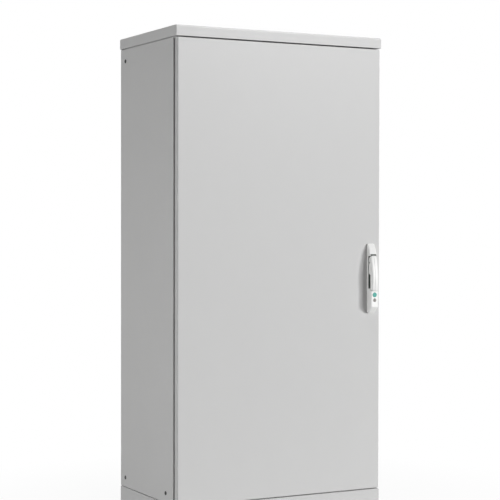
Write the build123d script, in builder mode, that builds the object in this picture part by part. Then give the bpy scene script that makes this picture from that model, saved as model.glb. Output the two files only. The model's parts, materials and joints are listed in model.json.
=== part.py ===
from build123d import *
import os
from math import acos, cos, pi, radians, sin, sqrt, tan

# A floor-standing sheet-steel electrical enclosure with one door and a swing handle.
# Millimetres, +Z up, +X to the right as seen from the door, +Y towards the back.
# The origin is on the floor, midway between the four floor-fixing holes.

os.makedirs("parts", exist_ok=True)

# Overall sizes
width = 1000.0
depth = 600.0
body_height = 2000.0
plinth_height = 100.0

# Sheets and bends
door_sheet = 2.0
panel_sheet = 1.5
roof_sheet = 2.0
frame_sheet = 2.0
plinth_sheet = 2.0
plate_sheet = 3.0
bend = 3.0
overrun = 1.0

# Gaps between the outer panels, and clearances
roof_edge = 45.0
roof_overhang = 3.0
roof_gap = 6.0
door_side_gap = 8.0
door_foot_gap = 5.0
panel_gap = 2.0
side_setback = 36.0
tray_return = 15.0
seat_gap = 0.3
pin_clearance = 0.05

# Door leaf
door_depth = 29.0
door_lip = 18.0
gasket_width = 12.0
gasket_depth = 12.0
gasket_corner = 12.0
seal_margin = 77.0
door_rail_width = 30.0
door_rail_depth = 18.0
door_rail_slots = 33
door_rail_inset = 58.0
door_rail_end_gap = 25.0

# Frame members
web_setback = 48.0
upright_clear_share = 0.55
upright_hollow = 41.0
upright_return_share = 0.69
rear_flange = 50.0
rail_flange = 52.0
side_rail_drop = 60.0
side_rail_flange = 56.0
slot_width = 10.0
slot_length = 20.0
slot_run_share = 0.876
slot_count = 35
lip_trim = 12.0

# Roof and panel fixings
roof_lip = 36.0
roof_round = 9.0
roof_screw_side = 120.0
roof_screw_inset = 26.0
roof_head_across = 19.0
roof_head_height = 6.0
roof_shank = 12.0
roof_shank_length = 22.0
cap_head = 17.0
cap_height = 2.0
cap_shank = 6.0
cap_rear_inset = 55.0
cap_front_inset = 73.0
cap_top_inset = 55.0
cap_foot_inset = 42.0
fixing_clearance = 0.25
rear_screw_inset = 24.0
rear_screw_rows = 3

# Plinth
plinth_setback = 6.0
plinth_flange = 80.0
floor_hole = 14.0
floor_hole_side = 70.0
floor_hole_inset = 34.5
gusset_leg = 60.0
gusset_sheet = 4.0
foot_bolt_across = 19.0
foot_bolt_head = 7.5
foot_bolt_shank = 12.0
foot_bolt_length = 16.0
foot_bolt_side = 150.0
foot_bolt_share = 0.5

# Inner plates
gland_lap = 10.0
gland_side_gap = 4.0
cable_slot = 50.0
gland_screw_head = 10.0
gland_screw_height = 3.0
gland_screw_shank = 5.0
gland_screw_inset = 5.0
mount_plate_side = 90.0
mount_plate_foot = 70.0
mount_plate_head = 70.0
mount_plate_fold = 18.0
plate_rail_height = 50.0
plate_rail_depth = 30.0
plate_rail_inset = 60.0
plate_bolt_head = 16.0
plate_bolt_height = 5.5
plate_bolt_shank = 8.0
plate_bolt_side = 30.0
earth_stud_size = 8.0
earth_stud_height = 26.0
earth_nut_across = 13.0
earth_nut_height = 6.5
earth_stud_side = 200.0

# Hinges
hinge_inset = 12.0
hinge_count = 3
hinge_end_margin = 230.0
hinge_pin = 6.0
knuckle = 14.0
arm_height = 22.0
arm_thickness = 6.5
arm_front_gap = 1.5
arm_reach = 32.0
leg_thickness = 7.0
arm_foot_width = 34.0
arm_foot_height = 60.0
arm_foot_thickness = 4.0
ear_thickness = 8.0
ear_clear = 0.4
bridge_thickness = 2.4
bridge_reach = 6.0
lip_cutout = 76.0

# Swing handle on the door
handle_edge_inset = 47.0
handle_width = 35.5
handle_foot_z = 884.0
handle_length = 307.0
handle_corner = 9.0
handle_seal = 1.0
base_depth = 13.0
block_depth = 38.0
block_chamfer_depth = 25.0
block_chamfer_height = 28.0
block_top = 97.0
ramp_rise = 12.0
cap_length = 75.0
lever_head = 22.0
lever_gap = 4.5
lever_end_gap = 4.0
cap_root_depth = 30.0
cap_bulge_depth = 22.0
cap_tip_depth = 5.0
cap_bulge_share = 0.47
housing_round = 2.5
housing_edge_round = 3.4
lever_width = 34.0
lever_back = 29.5
lever_front_top = 29.5
lever_front_mid = 42.5
lever_front_foot = 41.0
lever_neck_back = 16.5
lever_round = 9.0
neck_length = 47.0
grip_slope = 8.0
rib_width = 10.0
rib_back = 15.5
groove_width = 1.6
groove_depth = 0.8
lift_axis_drop = 9.0
lift_axis_depth = 22.0
lift_angle = 20.0
turn_angle = 90.0
rotor_size = 32.0
rotor_fit = 0.1
rotor_face_gap = 0.4
lug_width = 12.0
lug_round = 5.5
lug_slot_clear = 0.4
lug_slot_height = 34.0
lug_slot_depth = 29.0
lever_pin = 5.0
pin_recess = 9.0
pin_recess_depth = 3.0
neck_size = 16.0
neck_hole_clear = 0.5
spindle_square = 10.0
spindle_end_gap = 1.0
button_size = 21.0
button_height_z = 81.5
button_proud = 1.5
button_length = 11.0
button_travel = 3.0
button_clear = 0.3
button_dome = 1.2
barrel_size = 16.5
barrel_height_z = 58.0
barrel_proud = 0.4
barrel_length = 30.0
barrel_clear = 0.1
key_slot_width = 2.4
key_slot_length = 9.0
key_slot_depth = 8.0
handle_screw_size = 6.0
handle_screw_head = 12.0
handle_screw_head_height = 4.0
handle_screw_bite = 8.0
handle_screw_inset = 20.0

# Rack-and-pinion lock behind the handle
gear_module = 2.0
gear_teeth = 12
pressure_angle = 20.0
gear_addendum = 1.8
gear_dedendum = 2.4
rack_addendum = 1.3
rack_dedendum = 2.1
gear_backlash = 0.2
gear_face = 9.0
gear_lift = 5.0
rack_back = 6.0
rack_teeth = 7
rack_near_teeth = 2
rack_end = 15.0
case_half_height = 38.0
case_sheet = 2.0
case_cover_gap = 1.0
guide_length = 30.0
guide_wall = 3.0
guide_back = 3.0
guide_clear = 0.2
guide_near = 280.0
guide_far_inset = 120.0
rod_tip_gap = 2.0
rod_tip_chamfer = 2.0
striker_sheet = 3.0
striker_width = 16.0
striker_inset = 41.0
striker_lip = 16.0
striker_front_gap = 1.5
striker_flange = 24.0

# Places worked out from the sizes above
front_y = -depth / 2
rear_y = depth / 2 - roof_overhang
side_x = width / 2 - roof_overhang
roof_top_z = plinth_height + body_height
roof_foot_z = roof_top_z - roof_edge
frame_top_z = roof_top_z - roof_sheet
door_half = width / 2 - door_side_gap
door_foot_z = plinth_height + door_foot_gap
door_top_z = roof_foot_z - roof_gap
door_height = door_top_z - door_foot_z
door_mid_z = (door_top_z + door_foot_z) / 2
door_inner_y = front_y + door_sheet
door_back_y = front_y + door_depth
panel_foot_z = plinth_height + panel_gap
panel_top_z = roof_foot_z - panel_gap
panel_height = panel_top_z - panel_foot_z
panel_mid_z = (panel_top_z + panel_foot_z) / 2
side_front_y = front_y + side_setback
frame_half = side_x - tray_return - seat_gap
frame_rear_y = rear_y - tray_return - seat_gap
web_y = front_y + web_setback
seal_half = door_half - seal_margin
seal_foot_z = door_foot_z + seal_margin
seal_top_z = door_top_z - seal_margin
lip_front_y = door_inner_y + gasket_depth + seat_gap
upright_half_clear = depth * upright_clear_share / 2
upright_return = (-web_y - upright_half_clear) * upright_return_share
upright_inner = frame_half - upright_hollow
plinth_front_y = front_y + plinth_setback
roof_screw_x = width / 2 - roof_screw_side
floor_hole_x = width / 2 - floor_hole_side
foot_bolt_x = width / 2 - foot_bolt_side
mount_plate_width = width - 2 * mount_plate_side
earth_stud_x = width / 2 - earth_stud_side
hinge_x = -door_half + hinge_inset
hinge_y = front_y + hinge_inset
hinge_step = (door_height - 2 * hinge_end_margin) / (hinge_count - 1)
handle_x = door_half - handle_edge_inset
turn_axis = handle_length - cap_length
axis_z = handle_foot_z + turn_axis
pitch_radius = gear_module * gear_teeth / 2
rod_travel = pitch_radius * radians(turn_angle)

centre_low = (Align.CENTER, Align.CENTER, Align.MIN)
centre_high = (Align.CENTER, Align.CENTER, Align.MAX)


def save(builder, name):
    """Label a finished piece and write it to its own file."""
    builder.part.label = name
    export_step(builder.part, f"parts/{name}.step")


def folded_section(points, sheet, hand=1):
    """The section of a folded sheet, square-cornered but for its bends.

    The points follow one face of the sheet, which lies to their right as they
    run, or to their left where the hand is -1.
    """
    steps = [Vector(*after) - Vector(*before) for before, after in zip(points, points[1:])]
    aside = [Vector(step.Y, -step.X).normalized() * (hand * sheet / 2) for step in steps]
    middle = [Vector(*points[0]) + aside[0]]
    for point, before, after in zip(points[1:-1], aside, aside[1:]):
        middle.append(Vector(*point) + before + after)
    middle.append(Vector(*points[-1]) + aside[-1])
    with BuildSketch(Plane.XY) as section:
        with BuildLine():
            FilletPolyline(*middle, radius=bend - sheet / 2)
        trace(line_width=sheet)
    return section.sketch


def screw(head_radius, head_height, shank_radius, shank_length):
    """A plain round-headed screw, its head standing on the plane of the location."""
    Cylinder(head_radius, head_height, align=centre_low)
    Cylinder(shank_radius, shank_length, align=centre_high)


def hex_bolt(across, head_height, shank_radius, shank_length):
    """A hexagon-headed bolt, its head standing on the XY plane."""
    with BuildPart() as bolt:
        with BuildSketch(Plane.XY):
            RegularPolygon(across / 2, 6, major_radius=False)
        extrude(amount=head_height)
        Cylinder(shank_radius, shank_length, align=centre_high)
    return bolt.part


# Frame: the four uprights, folded from sheet, with a row of fixing slots

slot_mid_z = (plinth_height + frame_top_z) / 2
slot_pitch = slot_run_share * (frame_top_z - plinth_height) / slot_count


def slot_row(row_y):
    """The row of fixing slots to cut through a left upright's inner wall."""
    with BuildPart() as row:
        with BuildSketch(Plane.YZ.offset(-upright_inner)):
            with Locations((row_y, slot_mid_z)):
                with GridLocations(slot_pitch, slot_pitch, 1, slot_count):
                    Rectangle(slot_width, slot_length)
        extrude(amount=frame_sheet + overrun, both=True)
    return row.part


lip_x = seal_half + frame_sheet / 2

with BuildPart() as upright_front_left:
    with BuildSketch(Plane.XY.offset(plinth_height)):
        add(
            folded_section(
                [
                    (-lip_x, lip_front_y),
                    (-lip_x, web_y),
                    (-frame_half, web_y),
                    (-frame_half, -upright_half_clear),
                    (-upright_inner, -upright_half_clear),
                    (-upright_inner, -upright_half_clear - upright_return),
                ],
                frame_sheet,
            )
        )
    extrude(amount=frame_top_z - plinth_height)
    add(slot_row(-upright_half_clear - upright_return / 2), mode=Mode.SUBTRACT)
    # The sealing lip stands only along the door opening.
    for low_z, high_z in (
        (plinth_height, seal_foot_z - frame_sheet),
        (seal_top_z + frame_sheet, frame_top_z),
    ):
        with Locations((-seal_half, web_y, low_z)):
            Box(
                lip_trim,
                2 * web_setback,
                high_z - low_z,
                align=(Align.CENTER, Align.MAX, Align.MIN),
                mode=Mode.SUBTRACT,
            )
save(upright_front_left, "upright_front_left")

with BuildPart() as upright_front_right:
    mirror(upright_front_left.part, about=Plane.YZ)
save(upright_front_right, "upright_front_right")

with BuildPart() as upright_rear_left:
    with BuildSketch(Plane.XY.offset(plinth_height)):
        add(
            folded_section(
                [
                    (-upright_inner, upright_half_clear + upright_return),
                    (-upright_inner, upright_half_clear),
                    (-frame_half, upright_half_clear),
                    (-frame_half, frame_rear_y),
                    (-frame_half + rear_flange, frame_rear_y),
                ],
                frame_sheet,
            )
        )
    extrude(amount=frame_top_z - plinth_height)
    add(slot_row(upright_half_clear + upright_return / 2), mode=Mode.SUBTRACT)
save(upright_rear_left, "upright_rear_left")

with BuildPart() as upright_rear_right:
    mirror(upright_rear_left.part, about=Plane.YZ)
save(upright_rear_right, "upright_rear_right")

# Frame: the rails round the top and the foot

front_rail_half = seal_half - frame_sheet / 2
rear_rail_half = frame_half - rear_flange


def front_rail(lip_z, outer_z, hand):
    """The front rail at the top or the foot, with its part of the sealing lip."""
    with BuildPart() as rail:
        with BuildSketch(Plane.YZ):
            add(
                folded_section(
                    [
                        (lip_front_y, lip_z),
                        (web_y, lip_z),
                        (web_y, outer_z),
                        (web_y + rail_flange, outer_z),
                    ],
                    frame_sheet,
                    hand,
                )
            )
        extrude(amount=front_rail_half, both=True)
    return rail


def rear_rail(inner_z, outer_z, hand):
    """The rear rail at the top or the foot, an angle that backs the rear panel."""
    with BuildPart() as rail:
        with BuildSketch(Plane.YZ):
            add(
                folded_section(
                    [
                        (frame_rear_y, inner_z),
                        (frame_rear_y, outer_z),
                        (frame_rear_y - rail_flange, outer_z),
                    ],
                    frame_sheet,
                    hand,
                )
            )
        extrude(amount=rear_rail_half, both=True)
    return rail


def side_rail(inner_z, outer_z, hand):
    """The left rail at the top or the foot, an angle between the uprights."""
    with BuildPart() as rail:
        with BuildSketch(Plane.XZ):
            add(
                folded_section(
                    [
                        (-frame_half, inner_z),
                        (-frame_half, outer_z),
                        (-frame_half + side_rail_flange, outer_z),
                    ],
                    frame_sheet,
                    hand,
                )
            )
        extrude(amount=upright_half_clear, both=True)
    return rail


top_rail_front = front_rail(seal_top_z - frame_sheet / 2, frame_top_z, 1)
bottom_rail_front = front_rail(seal_foot_z + frame_sheet / 2, plinth_height, -1)

roof_screw_front_y = web_y + roof_screw_inset
roof_screw_rear_y = frame_rear_y - roof_screw_inset
roof_screw_mid_y = (roof_screw_front_y + roof_screw_rear_y) / 2
roof_screw_span = roof_screw_rear_y - roof_screw_front_y
foot_bolt_front_y = web_y + (plinth_front_y + plinth_flange - web_y) * foot_bolt_share
foot_bolt_rear_y = frame_rear_y - (frame_rear_y - rear_y + plinth_flange) * foot_bolt_share
foot_bolt_mid_y = (foot_bolt_front_y + foot_bolt_rear_y) / 2
foot_bolt_span = foot_bolt_rear_y - foot_bolt_front_y


def drill_roof_holes():
    """Drill the four roof-screw holes through a roof or a top rail."""
    with Locations((0, roof_screw_mid_y, roof_top_z + overrun)):
        with GridLocations(2 * roof_screw_x, roof_screw_span, 2, 2):
            Cylinder(
                roof_shank / 2 + fixing_clearance,
                roof_edge,
                align=centre_high,
                mode=Mode.SUBTRACT,
            )


def drill_foot_holes():
    """Drill the four holes for the bolts that hold the frame on the plinth."""
    with Locations((0, foot_bolt_mid_y, plinth_height)):
        with GridLocations(2 * foot_bolt_x, foot_bolt_span, 2, 2):
            Cylinder(
                foot_bolt_shank / 2 + fixing_clearance,
                4 * plinth_sheet,
                mode=Mode.SUBTRACT,
            )


with BuildPart() as top_front:
    add(top_rail_front.part)
    drill_roof_holes()
save(top_front, "top_rail_front")

with BuildPart() as top_rear:
    add(rear_rail(panel_top_z - rail_flange, frame_top_z, -1).part)
    drill_roof_holes()
save(top_rear, "top_rail_rear")

with BuildPart() as bottom_front:
    add(bottom_rail_front.part)
    drill_foot_holes()
save(bottom_front, "bottom_rail_front")

with BuildPart() as bottom_rear:
    add(rear_rail(panel_foot_z + rail_flange, plinth_height, 1).part)
    drill_foot_holes()
save(bottom_rear, "bottom_rail_rear")

top_left = side_rail(frame_top_z - side_rail_drop, frame_top_z, 1)
save(top_left, "top_rail_left")

with BuildPart() as top_right:
    mirror(top_left.part, about=Plane.YZ)
save(top_right, "top_rail_right")

bottom_left = side_rail(plinth_height + side_rail_drop, plinth_height, -1)
save(bottom_left, "bottom_rail_left")

with BuildPart() as bottom_right:
    mirror(bottom_left.part, about=Plane.YZ)
save(bottom_right, "bottom_rail_right")

# Roof: a shallow cap, rounded along front and rear, with a turned-in lip behind its front edge


def roof_block(inset):
    """The roof as a solid block, drawn in by the inset at its top and sides."""
    with BuildPart() as block:
        with BuildSketch(Plane.YZ.offset(inset - width / 2)) as profile:
            with Locations((0, (roof_foot_z + roof_top_z - inset) / 2)):
                Rectangle(depth - 2 * inset, roof_edge - inset)
            fillet(profile.vertices().sort_by(Axis.Y)[-2:], roof_round - inset)
        extrude(amount=width - 2 * inset)
        ends = block.faces().filter_by(Axis.X)
        fillet([edge for end in ends for edge in end.edges().sort_by(Axis.Z)[1:]], bend - inset)
    return block.part


with BuildPart() as roof:
    add(roof_block(0))
    add(roof_block(roof_sheet), mode=Mode.SUBTRACT)
    with Locations((0, front_y + roof_sheet, roof_foot_z)):
        Box(
            width - 2 * roof_sheet - 2 * bend,
            roof_lip,
            roof_sheet,
            align=(Align.CENTER, Align.MIN, Align.MIN),
        )
    drill_roof_holes()
save(roof, "roof")

with BuildPart() as roof_screws:
    with Locations((0, roof_screw_mid_y, roof_top_z)):
        with GridLocations(2 * roof_screw_x, roof_screw_span, 2, 2):
            add(hex_bolt(roof_head_across, roof_head_height, roof_shank / 2, roof_shank_length))
save(roof_screws, "roof_screws")

# Side and rear panels: shallow trays whose turned edges stand on the frame

cap_front_y = side_front_y + cap_front_inset
cap_rear_y = rear_y - cap_rear_inset
cap_top_z = panel_top_z - cap_top_inset
cap_foot_z = panel_foot_z + cap_foot_inset
side_cap_places = [
    (cap_rear_y, cap_top_z),
    (cap_rear_y, cap_foot_z),
    (cap_front_y, cap_foot_z),
]
side_panel_depth = rear_y - side_front_y
side_panel_mid_y = (rear_y + side_front_y) / 2

with BuildPart() as side_panel_left:
    with BuildSketch(Plane.YZ.offset(-side_x)):
        with Locations((side_panel_mid_y, panel_mid_z)):
            Rectangle(side_panel_depth, panel_height)
    extrude(amount=tray_return)
    fillet(side_panel_left.faces().sort_by(Axis.X)[0].edges(), bend)
    offset(amount=-panel_sheet, openings=side_panel_left.faces().sort_by(Axis.X)[-1])
    with BuildSketch(Plane.YZ.offset(-side_x - overrun)):
        with Locations(*side_cap_places):
            Circle(cap_shank / 2 + fixing_clearance)
    extrude(amount=2 * overrun + panel_sheet, mode=Mode.SUBTRACT)
save(side_panel_left, "side_panel_left")

with BuildPart() as side_panel_right:
    mirror(side_panel_left.part, about=Plane.YZ)
save(side_panel_right, "side_panel_right")

with BuildPart() as left_caps:
    for place_y, place_z in side_cap_places:
        with Locations(Plane(origin=(-side_x, place_y, place_z), z_dir=(-1, 0, 0))):
            screw(cap_head / 2, cap_height, cap_shank / 2, tray_return)

with BuildPart() as side_panel_screws:
    add(left_caps.part)
    mirror(left_caps.part, about=Plane.YZ)
save(side_panel_screws, "side_panel_screws")

rear_panel_half = side_x - tray_return - panel_gap
rear_screw_x = rear_panel_half - rear_screw_inset
rear_screw_step = (panel_height - 2 * rear_screw_inset) / (rear_screw_rows - 1)

with BuildPart() as rear_panel:
    with BuildSketch(Plane.XZ.offset(-rear_y)):
        with Locations((0, panel_mid_z)):
            Rectangle(2 * rear_panel_half, panel_height)
    extrude(amount=tray_return)
    fillet(rear_panel.faces().sort_by(Axis.Y)[-1].edges(), bend)
    offset(amount=-panel_sheet, openings=rear_panel.faces().sort_by(Axis.Y)[0])
    with BuildSketch(Plane.XZ.offset(-rear_y - overrun)):
        with Locations((0, panel_mid_z)):
            with GridLocations(2 * rear_screw_x, rear_screw_step, 2, rear_screw_rows):
                Circle(cap_shank / 2 + fixing_clearance)
    extrude(amount=2 * overrun + panel_sheet, mode=Mode.SUBTRACT)
save(rear_panel, "rear_panel")

with BuildPart() as rear_panel_screws:
    with Locations(Plane(origin=(0, rear_y, panel_mid_z), x_dir=(1, 0, 0), z_dir=(0, 1, 0))):
        with GridLocations(2 * rear_screw_x, rear_screw_step, 2, rear_screw_rows):
            screw(cap_head / 2, cap_height, cap_shank / 2, tray_return)
save(rear_panel_screws, "rear_panel_screws")

# Plinth: four channels mitred at the corners, with gussets inside

plinth_mid_y = (plinth_front_y + rear_y) / 2
plinth_depth = rear_y - plinth_front_y
floor_hole_y = depth / 2 - floor_hole_inset


def plinth_channel(mid, direction, half_length):
    """One channel of the plinth, lying along its plane and mitred at both ends.

    The plane's origin is at the middle of the outer face at floor level, its
    normal runs along the channel and its x direction points inwards.
    """
    along = Plane(origin=mid, x_dir=direction, z_dir=Vector(direction).cross(Vector(0, 0, 1)))
    with BuildPart() as channel:
        with BuildSketch(along):
            add(
                folded_section(
                    [
                        (plinth_flange, 0),
                        (0, 0),
                        (0, plinth_height),
                        (plinth_flange, plinth_height),
                    ],
                    plinth_sheet,
                )
            )
        extrude(amount=half_length, both=True)
        for end in (along.z_dir, -along.z_dir):
            corner = Vector(mid) + end * half_length
            split(bisect_by=Plane(origin=corner, z_dir=Vector(direction) + end), keep=Keep.BOTTOM)
    return channel


def drill_floor_holes():
    """Drill the four holes for the bolts that hold the plinth to the floor."""
    with GridLocations(2 * floor_hole_x, 2 * floor_hole_y, 2, 2):
        Cylinder(floor_hole / 2, 4 * plinth_sheet, mode=Mode.SUBTRACT)


with BuildPart() as plinth_front:
    add(plinth_channel((0, plinth_front_y, 0), (0, 1, 0), side_x).part)
    drill_floor_holes()
    drill_foot_holes()
save(plinth_front, "plinth_front")

with BuildPart() as plinth_rear:
    add(plinth_channel((0, rear_y, 0), (0, -1, 0), side_x).part)
    drill_floor_holes()
    drill_foot_holes()
save(plinth_rear, "plinth_rear")

plinth_left = plinth_channel((-side_x, plinth_mid_y, 0), (1, 0, 0), plinth_depth / 2)
save(plinth_left, "plinth_left")

plinth_right = plinth_channel((side_x, plinth_mid_y, 0), (-1, 0, 0), plinth_depth / 2)
save(plinth_right, "plinth_right")

with BuildPart() as plinth_gussets:
    with BuildSketch(Plane.XY.offset(plinth_sheet + bend)):
        with Locations((0, plinth_mid_y)):
            for sign_x in (-1, 1):
                for sign_y in (-1, 1):
                    corner_x = sign_x * (side_x - plinth_sheet)
                    corner_y = sign_y * (plinth_depth / 2 - plinth_sheet)
                    align_x = Align.MIN if sign_x < 0 else Align.MAX
                    align_y = Align.MIN if sign_y < 0 else Align.MAX
                    with Locations((corner_x, corner_y)):
                        Rectangle(gusset_leg, gusset_sheet, align=(align_x, align_y))
                        Rectangle(gusset_sheet, gusset_leg, align=(align_x, align_y))
    extrude(amount=plinth_height - 2 * (plinth_sheet + bend))
save(plinth_gussets, "plinth_gussets")

with BuildPart() as plinth_bolts:
    with Locations((0, foot_bolt_mid_y, plinth_height + frame_sheet)):
        with GridLocations(2 * foot_bolt_x, foot_bolt_span, 2, 2):
            add(hex_bolt(foot_bolt_across, foot_bolt_head, foot_bolt_shank / 2, foot_bolt_length))
save(plinth_bolts, "plinth_bolts")

# Floor of the cabinet: two gland plates with the cable slot between them

gland_half = upright_inner - gland_side_gap
gland_front_y = web_y + rail_flange - gland_lap
gland_rear_y = frame_rear_y - rail_flange + gland_lap
gland_mid_y = (gland_front_y + gland_rear_y) / 2
gland_base_z = plinth_height + frame_sheet
gland_plate_depth = (gland_rear_y - gland_front_y - cable_slot) / 2
gland_screw_x = gland_half - gland_screw_inset
gland_front_mid_y = gland_front_y + gland_plate_depth / 2
gland_rear_mid_y = gland_rear_y - gland_plate_depth / 2
gland_screw_span = gland_plate_depth / 2


def gland_plate(mid_y):
    """One gland plate, lying on the foot rails and drilled for its screws."""
    with BuildPart() as plate:
        with BuildSketch(Plane.XY.offset(gland_base_z)):
            with Locations((0, mid_y)):
                RectangleRounded(2 * gland_half, gland_plate_depth, bend)
                with GridLocations(2 * gland_screw_x, gland_screw_span, 2, 2):
                    Circle(gland_screw_shank / 2 + fixing_clearance, mode=Mode.SUBTRACT)
        extrude(amount=panel_sheet)
    return plate


gland_plate_front = gland_plate(gland_front_mid_y)
save(gland_plate_front, "gland_plate_front")

gland_plate_rear = gland_plate(gland_rear_mid_y)
save(gland_plate_rear, "gland_plate_rear")

with BuildPart() as gland_plate_screws:
    for plate_y in (gland_front_mid_y, gland_rear_mid_y):
        with Locations((0, plate_y, gland_base_z + panel_sheet)):
            with GridLocations(2 * gland_screw_x, gland_screw_span, 2, 2):
                screw(gland_screw_head / 2, gland_screw_height, gland_screw_shank / 2, panel_sheet)
save(gland_plate_screws, "gland_plate_screws")

# Mounting plate on two cross rails in front of the rear uprights

plate_rail_back_y = upright_half_clear
plate_rail_front_y = plate_rail_back_y - plate_rail_depth
plate_back_y = plate_rail_front_y
mount_plate_foot_z = plinth_height + mount_plate_foot
mount_plate_top_z = seal_top_z - mount_plate_head
mount_plate_mid_z = (mount_plate_foot_z + mount_plate_top_z) / 2
mount_plate_height = mount_plate_top_z - mount_plate_foot_z
plate_rail_low_z = mount_plate_foot_z + plate_rail_inset
plate_rail_high_z = mount_plate_top_z - plate_rail_inset
plate_bolt_x = mount_plate_width / 2 - plate_bolt_side


def plate_rail(mid_z):
    """One cross rail, a channel that opens to the back, drilled for two bolts."""
    low_z = mid_z - plate_rail_height / 2
    high_z = mid_z + plate_rail_height / 2
    with BuildPart() as rail:
        with BuildSketch(Plane.YZ):
            add(
                folded_section(
                    [
                        (plate_rail_back_y, low_z),
                        (plate_rail_front_y, low_z),
                        (plate_rail_front_y, high_z),
                        (plate_rail_back_y, high_z),
                    ],
                    frame_sheet,
                )
            )
        extrude(amount=frame_half - bend, both=True)
        rail_front = (0, plate_rail_front_y, mid_z)
        with Locations(Plane(origin=rail_front, x_dir=(1, 0, 0), z_dir=(0, -1, 0))):
            with GridLocations(2 * plate_bolt_x, plate_rail_height, 2, 1):
                Cylinder(
                    plate_bolt_shank / 2 + fixing_clearance,
                    4 * frame_sheet,
                    mode=Mode.SUBTRACT,
                )
    return rail


plate_rail_top = plate_rail(plate_rail_high_z)
save(plate_rail_top, "plate_rail_top")

plate_rail_bottom = plate_rail(plate_rail_low_z)
save(plate_rail_bottom, "plate_rail_bottom")

with BuildPart() as mounting_plate:
    with BuildSketch(Plane.XZ.offset(-plate_back_y)):
        with Locations((0, mount_plate_mid_z)):
            Rectangle(mount_plate_width, mount_plate_height)
            with GridLocations(2 * plate_bolt_x, plate_rail_high_z - plate_rail_low_z, 2, 2):
                Circle(plate_bolt_shank / 2 + fixing_clearance, mode=Mode.SUBTRACT)
    extrude(amount=plate_sheet)
    for edge_x, edge_align in (
        (-mount_plate_width / 2, Align.MIN),
        (mount_plate_width / 2, Align.MAX),
    ):
        with Locations((edge_x, plate_back_y, mount_plate_mid_z)):
            Box(
                plate_sheet,
                mount_plate_fold,
                mount_plate_height,
                align=(edge_align, Align.MIN, Align.CENTER),
            )
    # The folds are notched where the plate sits on its rails.
    for rail_z in (plate_rail_low_z, plate_rail_high_z):
        with Locations((0, plate_back_y, rail_z)):
            Box(
                mount_plate_width + 2 * overrun,
                mount_plate_fold + overrun,
                plate_rail_height + 2 * fixing_clearance,
                align=(Align.CENTER, Align.MIN, Align.CENTER),
                mode=Mode.SUBTRACT,
            )
save(mounting_plate, "mounting_plate")

with BuildPart() as mounting_plate_bolts:
    plate_front = (0, plate_back_y - plate_sheet, mount_plate_mid_z)
    with Locations(Plane(origin=plate_front, x_dir=(1, 0, 0), z_dir=(0, -1, 0))):
        with GridLocations(2 * plate_bolt_x, plate_rail_high_z - plate_rail_low_z, 2, 2):
            screw(
                plate_bolt_head / 2,
                plate_bolt_height,
                plate_bolt_shank / 2,
                plate_sheet + 4 * frame_sheet,
            )
save(mounting_plate_bolts, "mounting_plate_bolts")

with BuildPart() as earth_stud:
    with BuildSketch(Plane.XY.offset(plinth_height + frame_sheet)):
        with Locations((earth_stud_x, web_y + rail_flange / 2)):
            RegularPolygon(earth_nut_across / 2, 6, major_radius=False)
    extrude(amount=earth_nut_height)
    with BuildSketch(Plane.XY.offset(plinth_height + frame_sheet)):
        with Locations((earth_stud_x, web_y + rail_flange / 2)):
            Circle(earth_stud_size / 2)
    extrude(amount=earth_stud_height)
save(earth_stud, "earth_stud")

# Door leaf: a folded tray with turned-in lips

gear_front_y = door_inner_y + gear_lift
gear_back_y = gear_front_y + gear_face
gear_mid_y = (gear_front_y + gear_back_y) / 2
hinge_heights = [
    door_foot_z + hinge_end_margin + hinge_step * place for place in range(hinge_count)
]
handle_top_z = handle_foot_z + handle_length
handle_screw_places = [
    handle_foot_z + handle_screw_inset,
    handle_top_z - handle_screw_inset,
]

with BuildPart() as door_panel:
    with BuildSketch(Plane.XZ.offset(-front_y)):
        with Locations((0, door_mid_z)):
            Rectangle(2 * door_half, door_height)
    extrude(amount=-door_depth)
    fillet(door_panel.faces().sort_by(Axis.Y)[0].edges(), bend)
    offset(amount=-door_sheet, openings=door_panel.faces().sort_by(Axis.Y)[-1])
    with BuildSketch(Plane.XZ.offset(-door_back_y)):
        with Locations((0, door_mid_z)):
            Rectangle(2 * door_half, door_height)
            Rectangle(
                2 * (door_half - door_lip),
                door_height - 2 * door_lip,
                mode=Mode.SUBTRACT,
            )
    extrude(amount=door_sheet)
    # The left lip is cut away where the hinge arms reach in.
    for place_z in hinge_heights:
        with Locations((-door_half + door_sheet, door_back_y, place_z)):
            Box(
                door_lip,
                2 * (door_sheet + overrun),
                lip_cutout,
                align=(Align.MIN, Align.CENTER, Align.CENTER),
                mode=Mode.SUBTRACT,
            )
    with BuildSketch(Plane.XZ.offset(-front_y + overrun)):
        with Locations((handle_x, axis_z)):
            Circle(neck_size / 2 + neck_hole_clear)
        with Locations(*[(handle_x, place_z) for place_z in handle_screw_places]):
            Circle(handle_screw_size / 2 + fixing_clearance)
    extrude(amount=-(door_sheet + 2 * overrun), mode=Mode.SUBTRACT)
save(door_panel, "door_panel")

with BuildPart() as door_gasket:
    with BuildSketch(Plane.XZ.offset(-door_inner_y)):
        with Locations((0, (seal_foot_z + seal_top_z) / 2)):
            RectangleRounded(
                2 * seal_half + gasket_width,
                seal_top_z - seal_foot_z + gasket_width,
                gasket_corner,
            )
            Rectangle(
                2 * seal_half - gasket_width,
                seal_top_z - seal_foot_z - gasket_width,
                mode=Mode.SUBTRACT,
            )
    extrude(amount=-gasket_depth)
save(door_gasket, "door_gasket")

door_rail_x = seal_half - door_rail_inset
door_rail_foot_z = seal_foot_z + door_rail_end_gap
door_rail_top_z = seal_top_z - door_rail_end_gap

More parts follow.
